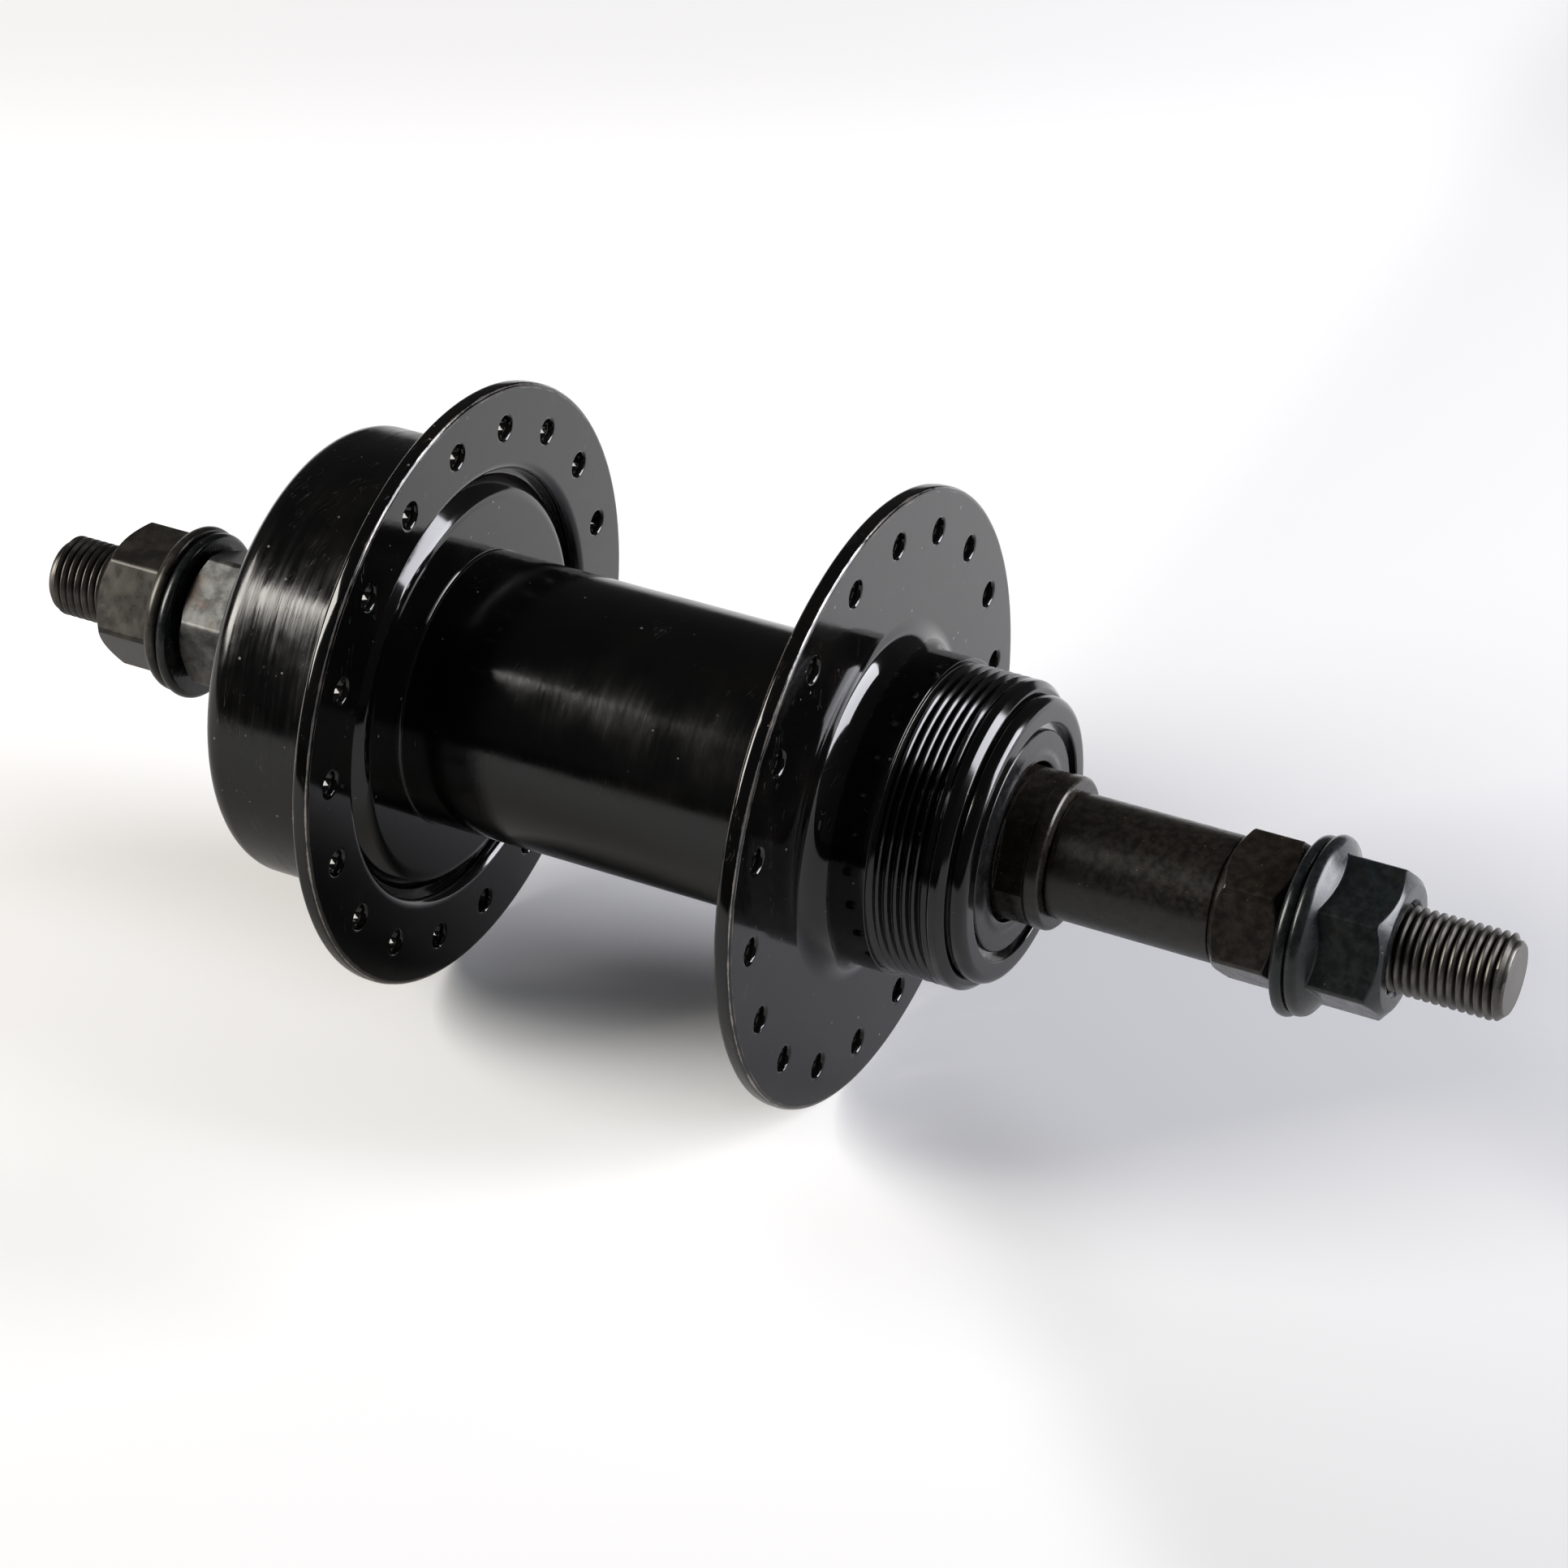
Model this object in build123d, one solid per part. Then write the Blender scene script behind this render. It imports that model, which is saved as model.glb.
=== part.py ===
from build123d import *
from math import acos, degrees, sqrt
import os

# Bicycle rear hub with a threaded drive side and a closed brake drum. Millimetres.
# The axle lies along Y with its middle at the origin, the drive side towards -Y,
# the drum side towards +Y, and Z is up.

# Axle, 3/8 inch. Its thread is drawn plain, at the crest radius.
axle_length = 180.0
axle_radius = 4.76
axle_end_chamfer = 0.9
thread_clearance = 0.05

# Hub shell. The two flange outer faces are measured from the middle of the axle.
drive_flange_place = 16.7
drum_flange_place = 36.7
flange_radius = 35.3
flange_thickness = 2.0
flange_rim_rounding = 0.6
barrel_radius = 16.0
barrel_wall = 2.0
barrel_stub = 1.0

# Spoke holes
spoke_count = 18
spoke_circle_radius = 30.3
spoke_hole_radius = 1.35
spoke_countersink = 0.3
spoke_phase = 8.4

# Neck drawn up from the drive flange over the end of the barrel
neck_wall = 1.85
neck_length = 7.0
neck_fillet = 3.0
neck_mouth_rounding = 1.2

# Threaded socket for the freewheel, 1.375 inch
freewheel_thread_radius = 17.4
freewheel_thread_length = 8.8
freewheel_chamfer = 0.8
socket_spigot_length = 8.0
socket_spigot_wall = 2.0
lip_groove_width = 0.4
lip_groove_depth = 0.35
lip_radius = 16.1
lip_height = 1.6
lip_rounding = 1.1

# Brake drum, a cup closed at its outer end
drum_radius = 26.5
drum_wall = 2.0
drum_length = 17.65
drum_corner = 2.8
drum_mouth_rounding = 1.2
drum_flange_bore_step = 0.7
drum_flange_bore_rounding = 1.2

# Pressed end of the shell, which closes the drum towards the barrel
web_wall = 2.0
web_bevel = 1.5
web_face_rounding = 1.2
web_skirt_rounding = 1.0
web_inner_corner = 0.6
web_skirt_length = 6.6
web_neck_fillet = 2.0
web_neck_rim = 0.2
web_neck_edge = 0.15

# Bearings, with quarter-inch balls in a cage on each side
ball_radius = 3.175
ball_count = 7
ball_circle_radius = 9.0
ball_clearance = 0.05
bearing_depth = 5.8
cup_wall = 1.15
cup_floor = 1.95
cup_floor_bore = 8.4
cage_radial_gap = 0.4
cage_thickness = 1.0
cage_width = 1.6
cage_end_gap = 0.5
cage_bar_width = 0.9
cage_bar_length = 4.0
cage_bar_gap = 0.4
cage_ball_gap = 0.1

# Dust caps, pressed into the cups
cap_recess = 0.2
cap_thickness = 0.8
cap_bore_gap = 0.5
cap_overlap = 0.25
cap_skirt_length = 1.0
cap_skirt_wall = 0.8

# Cones
cone_radius = 8.5
cone_nose_length = 3.0
cone_collar_radius = 8.6
cone_collar_length = 1.9
cone_edge_chamfer = 0.3
cone_flat_width = 15.0
cone_flat_gap = 0.1
drive_cone_outer_length = 10.9
drum_cone_outer_length = 13.25

# Spacer tube between the drive cone and its locknut
spacer_radius = 7.03
spacer_length = 18.8
spacer_bore_clearance = 0.2

# Hexagon locknuts and flanged axle nuts
hexagon_width = 15.0
hexagon_edge_radius = 7.5
hexagon_chamfer_slope = 0.6
drive_locknut_length = 8.0
drum_locknut_length = 8.0
nut_bore_chamfer = 0.5
nut_length = 9.8
nut_flange_radius = 9.9
nut_flange_edge = 1.1
nut_flange_rise = 1.1
nut_flange_rounding = 0.4

# Washers, which hang loose on the axle until the wheel is fitted
washer_radius = 9.9
washer_thickness = 1.6
washer_bore_clearance = 0.54
washer_hang = 0.5
washer_rounding = 0.4

# How far a corner of each hexagon, and a flat of each cone, is turned from straight up,
# in degrees
drive_nut_turn = -15.7
drive_locknut_turn = -15.6
drum_nut_turn = 27.2
drum_locknut_turn = -7.6
drive_cone_turn = 68.0
drum_cone_turn = 0.0

# Sizes that follow from the ones above
barrel_bore = barrel_radius - barrel_wall
neck_radius = barrel_radius + neck_wall
drum_bore = drum_radius - drum_wall
drum_flange_bore = drum_bore + drum_flange_bore_step
race_radius = ball_radius + ball_clearance
cup_bore = ball_circle_radius + race_radius
cup_radius = cup_bore + cup_wall
cap_face = bearing_depth - cap_recess
cap_seat = cap_face - cap_thickness
nut_bore = axle_radius + thread_clearance
hexagon_corner = hexagon_width / sqrt(3)
thread_end = neck_length + freewheel_thread_length
socket_face = thread_end + lip_groove_width + lip_height

# Each side is built outwards along +Y from the outer face of its flange.
drive_side = Location((0, -drive_flange_place, 0), (0, 0, 180))
drum_side = Location((0, drum_flange_place, 0))

# Distances from the flange face outwards
drive_bearing = socket_face - bearing_depth
drum_bearing = drum_length - bearing_depth
drive_locknut_base = drive_bearing + drive_cone_outer_length + spacer_length
drum_locknut_base = drum_bearing + drum_cone_outer_length
drive_washer_base = drive_locknut_base + drive_locknut_length
drum_washer_base = drum_locknut_base + drum_locknut_length


# Closed outline from (radius, distance) corners. A third value rounds that corner.
def outline(*corners):
    face = make_face(Polyline(*[corner[:2] for corner in corners], close=True))
    for radius, distance, *rounding in corners:
        if rounding:
            vertex = face.vertices().sort_by_distance((radius, distance, 0))[0]
            face = fillet(vertex, rounding[0])
    return face


# Solid turned about the axle from an outline of radius against distance
def turned(*corners):
    return revolve(outline(*corners), Axis.Y)


def tube(inner, outer, start, end):
    return turned((inner, start), (outer, start), (outer, end), (inner, end))


# Countersunk spoke drills through a flange whose outer face is at distance 0
def spoke_drills(phase):
    mouth = spoke_hole_radius + spoke_countersink
    drill = turned(
        (0, -flange_thickness),
        (mouth, -flange_thickness),
        (spoke_hole_radius, spoke_countersink - flange_thickness),
        (spoke_hole_radius, -spoke_countersink),
        (mouth, 0),
        (0, 0),
    )
    step = 360 / spoke_count
    place = Pos(0, 0, spoke_circle_radius)
    return [Rot(0, phase + index * step, 0) * place * drill for index in range(spoke_count)]


# Pressed drive flange with its neck over the end of the barrel
def drive_flange():
    blank = turned(
        (barrel_radius, -flange_thickness, neck_mouth_rounding),
        (flange_radius, -flange_thickness, flange_rim_rounding),
        (flange_radius, 0, flange_rim_rounding),
        (neck_radius, 0, neck_fillet),
        (neck_radius, neck_length),
        (barrel_radius, neck_length),
    )
    return blank - spoke_drills(-spoke_phase)


# Flange ring that the open end of the drum is brazed to
def drum_flange():
    blank = turned(
        (drum_flange_bore, -flange_thickness, drum_flange_bore_rounding),
        (flange_radius, -flange_thickness, flange_rim_rounding),
        (flange_radius, 0, flange_rim_rounding),
        (drum_flange_bore, 0),
    )
    return blank - spoke_drills(spoke_phase + 180 / spoke_count)


# End of the shell with the freewheel thread outside and the bearing seat inside
def freewheel_socket():
    groove_radius = lip_radius - lip_groove_depth
    groove_end = thread_end + lip_groove_width
    seat_end = drive_bearing - race_radius - cup_floor
    spigot_bore = barrel_bore - socket_spigot_wall
    spigot_end = neck_length - socket_spigot_length
    return turned(
        (spigot_bore, spigot_end),
        (barrel_bore, spigot_end),
        (barrel_bore, neck_length),
        (freewheel_thread_radius, neck_length),
        (freewheel_thread_radius, thread_end - freewheel_chamfer),
        (freewheel_thread_radius - freewheel_chamfer, thread_end),
        (groove_radius, thread_end),
        (groove_radius, groove_end),
        (lip_radius, groove_end),
        (lip_radius, socket_face, lip_rounding),
        (cup_radius, socket_face),
        (cup_radius, seat_end),
        (spigot_bore, seat_end),
    )


# Drum with an in-turned collar that holds the bearing cup
def brake_drum():
    seat_radius = cup_radius + drum_wall
    seat_end = drum_bearing - race_radius - cup_floor
    inner_face = drum_length - drum_wall
    return turned(
        (drum_bore, 0),
        (drum_radius, 0),
        (drum_radius, drum_length, drum_corner),
        (cup_radius, drum_length, drum_mouth_rounding),
        (cup_radius, seat_end),
        (seat_radius, seat_end),
        (seat_radius, inner_face, drum_wall),
        (drum_bore, inner_face, drum_corner - drum_wall),
    )


# Pressed end flush with the flange's inner face. Its rim is bevelled towards a skirt
# that lies in the drum's bore, and the fillet at its neck leaves half of its face flat.
def shell_end():
    neck_edge = barrel_radius + web_neck_edge
    bevel_edge = drum_bore - web_bevel
    neck_fillet = min(web_neck_fillet, 0.5 * (bevel_edge - neck_edge))
    neck_end = -flange_thickness - neck_fillet - web_neck_rim
    inner_face = web_wall - flange_thickness
    skirt_bore = drum_bore - web_wall
    return turned(
        (barrel_radius, neck_end),
        (neck_edge, neck_end),
        (neck_edge, -flange_thickness, neck_fillet),
        (bevel_edge, -flange_thickness, web_face_rounding),
        (drum_bore, web_bevel - flange_thickness, web_skirt_rounding),
        (drum_bore, web_skirt_length),
        (skirt_bore, web_skirt_length),
        (skirt_bore, inner_face, web_inner_corner),
        (barrel_radius, inner_face),
    )


# Tube from the shoulder of the drive socket to just inside the pressed end
def barrel():
    drive_end = -drive_flange_place - neck_length
    drum_end = drum_flange_place - flange_thickness + web_wall + barrel_stub
    return tube(barrel_bore, barrel_radius, drive_end, drum_end)


# Cup whose race curves round the circle of balls
def bearing_cup(centre):
    floor = centre - race_radius
    wall = Polyline(
        (ball_circle_radius, floor),
        (cup_floor_bore, floor),
        (cup_floor_bore, floor - cup_floor),
        (cup_radius, floor - cup_floor),
        (cup_radius, centre + cap_seat),
        (cup_bore, centre + cap_seat),
        (cup_bore, centre),
    )
    race = CenterArc((ball_circle_radius, centre), race_radius, -90, 90)
    return revolve(make_face(wall.edges() + race.edges()), Axis.Y)


# Cap that rests on the cup's rim, with a skirt in the cup's bore
def dust_cap(centre):
    bore = cone_radius + cap_bore_gap
    skirt_end = centre + cap_seat - cap_skirt_length
    return turned(
        (bore, centre + cap_seat),
        (bore, centre + cap_face),
        (cup_bore + cap_overlap, centre + cap_face),
        (cup_bore + cap_overlap, centre + cap_seat),
        (cup_bore, centre + cap_seat),
        (cup_bore, skirt_end),
        (cup_bore - cap_skirt_wall, skirt_end),
        (cup_bore - cap_skirt_wall, centre + cap_seat),
    )


# Cone whose race meets the balls from inside. Its wrench flats stand outside the cap
# and run to its end, or to its collar if it has one.
def bearing_cone(centre, outer_length, turn, collar_length):
    end = centre + outer_length
    flat_start = centre + cap_face + cone_flat_gap
    flat_end = end - collar_length if collar_length else end + cone_edge_chamfer
    nose_radius = ball_circle_radius - race_radius
    race_span = degrees(acos((ball_circle_radius - cone_radius) / race_radius))
    race_end = centre + sqrt(race_radius**2 - (ball_circle_radius - cone_radius) ** 2)
    race = CenterArc((ball_circle_radius, centre), race_radius, 180, -race_span)
    end_radius = cone_collar_radius if collar_length else cone_radius
    collar = [(cone_radius, flat_end), (cone_collar_radius, flat_end + cone_edge_chamfer)]
    body = Polyline(
        (cone_radius, race_end),
        *(collar if collar_length else []),
        (end_radius, end - cone_edge_chamfer),
        (end_radius - cone_edge_chamfer, end),
        (nut_bore, end),
        (nut_bore, centre - cone_nose_length),
        (nose_radius, centre - cone_nose_length),
        (nose_radius, centre),
    )
    cone = revolve(make_face(race.edges() + body.edges()), Axis.Y)
    flat_length = flat_end - flat_start
    middle = flat_start + flat_length / 2
    waste = Box(4 * cone_radius, flat_length, cone_radius)
    reach_out = (cone_flat_width + cone_radius) / 2
    flats = [Rot(0, turn, 0) * Pos(0, middle, side * reach_out) * waste for side in (-1, 1)]
    return cone - flats


def ball_places():
    return [Rot(0, index * 360 / ball_count, 0) for index in range(ball_count)]


def balls(centre):
    ball = Pos(0, centre, ball_circle_radius) * Sphere(ball_radius)
    return Compound(children=[place * ball for place in ball_places()])


# Ring with a pocket over each ball and a bar between each two
def ball_cage(centre):
    outer = cup_bore - cage_radial_gap
    ring_end = centre + cap_seat - cap_skirt_length - cage_end_gap
    ring = tube(outer - cage_thickness, outer, ring_end - cage_width, ring_end)
    bar_inner = cone_radius + cage_bar_gap
    bar_depth = outer - cage_thickness / 2 - bar_inner
    bar = Box(cage_bar_width, cage_bar_length, bar_depth)
    bar_place = Pos(0, ring_end - cage_bar_length / 2, bar_inner + bar_depth / 2)
    pocket = Pos(0, centre, ball_circle_radius) * Sphere(ball_radius + cage_ball_gap)
    half_step = Rot(0, 180 / ball_count, 0)
    bars = [place * half_step * bar_place * bar for place in ball_places()]
    return ring + bars - [place * pocket for place in ball_places()]


# Hexagon prism whose corners are chamfered towards each end
def hexagon(start, end, turn):
    rise = (hexagon_corner - hexagon_edge_radius) * hexagon_chamfer_slope
    section = RegularPolygon(hexagon_width / 2, 6, major_radius=False, rotation=30)
    prism = Rot(0, turn, 0) * Pos(0, start, 0) * Rot(-90, 0, 0) * extrude(section, end - start)
    envelope = turned(
        (0, start),
        (hexagon_edge_radius, start),
        (hexagon_corner, start + rise),
        (hexagon_corner, end - rise),
        (hexagon_edge_radius, end),
        (0, end),
    )
    return prism & envelope


# Threaded bore of a nut, opened a little at each end
def nut_drill(start, end):
    mouth = nut_bore + nut_bore_chamfer
    return turned(
        (0, start),
        (mouth, start),
        (nut_bore, start + nut_bore_chamfer),
        (nut_bore, end - nut_bore_chamfer),
        (mouth, end),
        (0, end),
    )


def locknut(base, length, turn):
    return hexagon(base, base + length, turn) - nut_drill(base, base + length)


def axle_nut(base, turn):
    end = base + nut_length
    edge_end = base + nut_flange_edge
    rise_end = edge_end + nut_flange_rise
    flange = turned(
        (0, base),
        (nut_flange_radius, base, nut_flange_rounding),
        (nut_flange_radius, edge_end, nut_flange_rounding),
        (hexagon_edge_radius - nut_flange_rounding, rise_end),
        (0, rise_end),
    )
    return flange + hexagon(base, end, turn) - nut_drill(base, end)


def washer(base):
    bore = axle_radius + washer_bore_clearance
    return Pos(0, 0, -washer_hang) * turned(
        (bore, base),
        (washer_radius, base, washer_rounding),
        (washer_radius, base + washer_thickness, washer_rounding),
        (bore, base + washer_thickness),
    )


def axle():
    end = axle_length / 2
    tip = axle_radius - axle_end_chamfer
    return turned(
        (0, -end),
        (tip, -end),
        (axle_radius, axle_end_chamfer - end),
        (axle_radius, end - axle_end_chamfer),
        (tip, end),
        (0, end),
    )


def drive_spacer():
    start = drive_bearing + drive_cone_outer_length
    bore = axle_radius + spacer_bore_clearance
    return tube(bore, spacer_radius, start, start + spacer_length)


nodes = {
    "axle": axle(),
    "hub_barrel": barrel(),
    "drive_flange": drive_side * drive_flange(),
    "drum_flange": drum_side * drum_flange(),
    "freewheel_socket": drive_side * freewheel_socket(),
    "brake_drum": drum_side * brake_drum(),
    "shell_end": drum_side * shell_end(),
    "drive_cone": drive_side
    * bearing_cone(drive_bearing, drive_cone_outer_length, drive_cone_turn, cone_collar_length),
    "drum_cone": drum_side
    * bearing_cone(drum_bearing, drum_cone_outer_length, drum_cone_turn, 0),
    "drive_spacer": drive_side * drive_spacer(),
    "drive_locknut": drive_side
    * locknut(drive_locknut_base, drive_locknut_length, drive_locknut_turn),
    "drum_locknut": drum_side * locknut(drum_locknut_base, drum_locknut_length, drum_locknut_turn),
    "drive_washer": drive_side * washer(drive_washer_base),
    "drum_washer": drum_side * washer(drum_washer_base),
    "drive_axle_nut": drive_side * axle_nut(drive_washer_base + washer_thickness, drive_nut_turn),
    "drum_axle_nut": drum_side * axle_nut(drum_washer_base + washer_thickness, drum_nut_turn),
}
for name, place, centre in (
    ("drive", drive_side, drive_bearing),
    ("drum", drum_side, drum_bearing),
):
    nodes[f"{name}_bearing_cup"] = place * bearing_cup(centre)
    nodes[f"{name}_dust_cap"] = place * dust_cap(centre)
    nodes[f"{name}_balls"] = place * balls(centre)
    nodes[f"{name}_ball_cage"] = place * ball_cage(centre)

os.makedirs("parts", exist_ok=True)
for name, shape in nodes.items():
    export_step(shape, f"parts/{name}.step")
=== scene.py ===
from math import hypot, pi, radians, sqrt
import bmesh
import bpy
from mathutils import Matrix, Quaternion, Vector


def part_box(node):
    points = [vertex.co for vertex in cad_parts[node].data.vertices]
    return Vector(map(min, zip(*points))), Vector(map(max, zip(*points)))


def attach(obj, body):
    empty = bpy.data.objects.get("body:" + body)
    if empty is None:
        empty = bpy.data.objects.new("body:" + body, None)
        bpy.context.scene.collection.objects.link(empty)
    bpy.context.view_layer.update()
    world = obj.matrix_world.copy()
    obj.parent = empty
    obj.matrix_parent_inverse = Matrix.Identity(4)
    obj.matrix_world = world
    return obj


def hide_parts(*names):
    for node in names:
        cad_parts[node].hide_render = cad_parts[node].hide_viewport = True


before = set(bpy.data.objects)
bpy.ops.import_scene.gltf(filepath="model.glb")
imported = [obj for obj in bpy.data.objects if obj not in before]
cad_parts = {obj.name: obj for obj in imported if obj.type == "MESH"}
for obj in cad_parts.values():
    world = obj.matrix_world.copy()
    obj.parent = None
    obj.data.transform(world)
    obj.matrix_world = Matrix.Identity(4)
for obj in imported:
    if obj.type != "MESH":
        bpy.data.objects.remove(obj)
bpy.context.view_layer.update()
print("frame loaded")

# Pieces are modelled in millimetres, the axle along Y. Each end of the hub is modelled
# outwards along +Y from the outer face of its flange, then turned to its side.
mm = 0.001
flangePlace = {"drive": 16.7, "drum": 36.7}
sideTurn = {
    "drive": Matrix.Translation((0, -flangePlace["drive"], 0)) @ Matrix.Rotation(pi, 4, "Z"),
    "drum": Matrix.Translation((0, flangePlace["drum"], 0)),
    "middle": Matrix.Identity(4),
}
flangeRadius = 35.3
flangeThickness = 2.0
barrelRadius = 16.0
ringSteps = 144
boreSteps = 72
mergeDistance = 0.0005
rounding = {"perMillimetre": 5, "fewest": 3, "most": 16}


# radius, start and end of a CAD node, measured outwards from its flange
def extentOf(node, side):
    low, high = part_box(node)
    outward = -1 if side == "drive" else 1
    ends = sorted(outward * corner.y / mm - flangePlace[side] for corner in (low, high))
    return high.x / mm, ends[0], ends[1]


# spins an outline of radius against distance; a third value rounds that corner
def spunShape(corners, closed=True, steps=ringSteps):
    bm = bmesh.new()
    verts = [bm.verts.new((corner[0], corner[1], 0)) for corner in corners]
    for start, end in zip(verts, verts[1:] + verts[:1] if closed else verts[1:]):
        bm.edges.new((start, end))
    for vert, corner in zip(verts, corners):
        if len(corner) > 2:
            rounds = round(corner[2] * rounding["perMillimetre"])
            rounds = max(rounding["fewest"], min(rounding["most"], rounds))
            bmesh.ops.bevel(bm, geom=[vert], offset=corner[2], offset_type="OFFSET", segments=rounds,
                            profile=0.5, affect="VERTICES", material=-1)
    bmesh.ops.spin(bm, geom=bm.verts[:] + bm.edges[:], cent=(0, 0, 0), axis=(0, 1, 0),
                   dvec=(0, 0, 0), angle=2 * pi, steps=steps, use_merge=True)
    bmesh.ops.remove_doubles(bm, verts=bm.verts, dist=mergeDistance)
    bmesh.ops.dissolve_degenerate(bm, edges=bm.edges, dist=mergeDistance)
    bmesh.ops.recalc_face_normals(bm, faces=bm.faces)
    return bm


def addShape(bm, other):
    mesh = bpy.data.meshes.new("part")
    other.to_mesh(mesh)
    other.free()
    bm.from_mesh(mesh)
    bpy.data.meshes.remove(mesh)
    return bm


def looseObject(bm):
    mesh = bpy.data.meshes.new("tool")
    bm.to_mesh(mesh)
    bm.free()
    thing = bpy.data.objects.new("tool", mesh)
    bpy.context.scene.collection.objects.link(thing)
    return thing


# cuts, joins or trims a shape with another
def carve(bm, tool, operation):
    body = looseObject(bm)
    other = looseObject(tool)
    cut = body.modifiers.new("cut", "BOOLEAN")
    cut.object = other
    cut.operation = operation
    cut.solver = "EXACT"
    graph = bpy.context.evaluated_depsgraph_get()
    mesh = bpy.data.meshes.new_from_object(body.evaluated_get(graph))
    result = bmesh.new()
    result.from_mesh(mesh)
    bpy.data.meshes.remove(mesh)
    for thing in (body, other):
        mesh = thing.data
        bpy.data.objects.remove(thing)
        bpy.data.meshes.remove(mesh)
    return result


# angles in degrees
softEdges = {"segments": 2, "angle": 20, "weight": 90, "sharp": 38}


# puts a finished shape at its place, in metres, on the body it moves with
def finishPiece(name, bm, side, body, nodes, material, softEdge=0.0,
                sharp=softEdges["sharp"]):
    bmesh.ops.transform(bm, matrix=sideTurn[side], verts=bm.verts)
    bmesh.ops.scale(bm, vec=(mm, mm, mm), verts=bm.verts)
    for face in bm.faces:
        face.smooth = True
    mesh = bpy.data.meshes.new(name)
    bm.to_mesh(mesh)
    bm.free()
    mesh.set_sharp_from_angle(angle=radians(sharp))
    piece = bpy.data.objects.new(name, mesh)
    bpy.context.scene.collection.objects.link(piece)
    mesh.materials.append(material)
    if softEdge:
        bevel = piece.modifiers.new("softEdges", "BEVEL")
        bevel.width = softEdge * mm
        bevel.segments = softEdges["segments"]
        bevel.limit_method = "ANGLE"
        bevel.angle_limit = radians(softEdges["angle"])
    even = piece.modifiers.new("evenShading", "WEIGHTED_NORMAL")
    even.keep_sharp = True
    even.weight = softEdges["weight"]
    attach(piece, body)
    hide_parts(*nodes)


def setRadius(vert, radius):
    share = radius / hypot(vert.co.x, vert.co.z)
    vert.co.x *= share
    vert.co.z *= share


# one pitch of a V thread wound along the axle and cut square at both ends
thread = {"crestLand": 0.18, "rootLand": 0.10, "depthShare": 0.6, "stepsPerTurn": 72,
          "leadPitches": 1.5, "spareTurns": 4, "startFade": 0.25, "weld": 0.01, "cut": 0.0001,
          "sharp": 75}


def threadSleeve(crest, pitch, start, end, runIn, runOut, bore):
    depth = thread["depthShare"] * pitch
    flank = pitch * (1 - thread["crestLand"] - thread["rootLand"]) / 2
    first = start - thread["leadPitches"] * pitch
    low = crest - depth
    outline = [(low, 0), (low, thread["rootLand"] * pitch)]
    outline.append((crest, outline[1][1] + flank))
    outline.append((crest, outline[2][1] + thread["crestLand"] * pitch))
    outline.append((low, pitch))
    bm = bmesh.new()
    verts = [bm.verts.new((radius, first + along, 0)) for radius, along in outline]
    for a, b in zip(verts, verts[1:]):
        bm.edges.new((a, b))
    turns = int((end - start) / pitch) + thread["spareTurns"]
    steps = thread["stepsPerTurn"]
    bmesh.ops.spin(bm, geom=bm.verts[:] + bm.edges[:], cent=(0, 0, 0), axis=(0, 1, 0),
                   dvec=(0, pitch / steps, 0), angle=2 * pi * turns, steps=steps * turns)
    bmesh.ops.remove_doubles(bm, verts=bm.verts, dist=thread["weld"])
    for vert in bm.verts:                                  # the thread fades in and out
        radius = hypot(vert.co.x, vert.co.z)
        fade = 1.0
        if runIn:
            fade = min(fade, max(0.0, (vert.co.y - start) / runIn + thread["startFade"]))
        if runOut:
            fade = min(fade, max(0.0, (end - vert.co.y) / runOut))
        setRadius(vert, crest - (crest - radius) * fade)
    for place, way in ((start, -1), (end, 1)):
        bmesh.ops.bisect_plane(bm, geom=bm.verts[:] + bm.edges[:] + bm.faces[:], dist=thread["cut"],
                               plane_co=(0, place, 0), plane_no=(0, way, 0), clear_outer=True)
    rims = [edge for edge in bm.edges if edge.is_boundary]
    if bore:
        grown = bmesh.ops.extrude_edge_only(bm, edges=rims)["geom"]
        for vert in [item for item in grown if isinstance(item, bmesh.types.BMVert)]:
            setRadius(vert, bore)
        inner = [edge for edge in bm.edges if edge.is_boundary]
        bmesh.ops.bridge_loops(bm, edges=inner)
    else:
        bmesh.ops.holes_fill(bm, edges=rims, sides=0)
    bmesh.ops.recalc_face_normals(bm, faces=bm.faces)
    return bm


# six-sided bar with its corners taken off by a cone at each end
hexagon = {"width": 15.0, "edgeRadius": 6.9, "chamferSlope": 0.8, "cornerRounding": 0.45,
           "clearance": 0.1}


def hexagonShape(start, end, turn):
    corner = hexagon["width"] / sqrt(3)
    rise = (corner - hexagon["edgeRadius"]) * hexagon["chamferSlope"]
    outside = corner + hexagon["clearance"]
    bm = bmesh.new()
    bmesh.ops.create_circle(bm, cap_ends=True, segments=6, radius=corner)
    bmesh.ops.rotate(bm, verts=bm.verts, cent=(0, 0, 0), matrix=Matrix.Rotation(-pi / 2, 3, "X"))
    grown = bmesh.ops.extrude_face_region(bm, geom=bm.faces[:])["geom"]
    top = [item for item in grown if isinstance(item, bmesh.types.BMVert)]
    bmesh.ops.translate(bm, verts=top, vec=(0, end - start, 0))
    long = [edge for edge in bm.edges if abs(edge.verts[0].co.y - edge.verts[1].co.y) > 1]
    bmesh.ops.bevel(bm, geom=long, offset=hexagon["cornerRounding"], segments=3, profile=0.5,
                    affect="EDGES", material=-1)
    bmesh.ops.translate(bm, verts=bm.verts, vec=(0, start, 0))
    bmesh.ops.rotate(bm, verts=bm.verts, cent=(0, 0, 0), matrix=Matrix.Rotation(radians(turn), 3, "Y"))
    bmesh.ops.recalc_face_normals(bm, faces=bm.faces)
    envelope = spunShape([(0, start), (hexagon["edgeRadius"], start), (outside, start + rise),
                          (outside, end - rise), (hexagon["edgeRadius"], end), (0, end)],
                         closed=False)
    return carve(bm, envelope, "INTERSECT")


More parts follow.
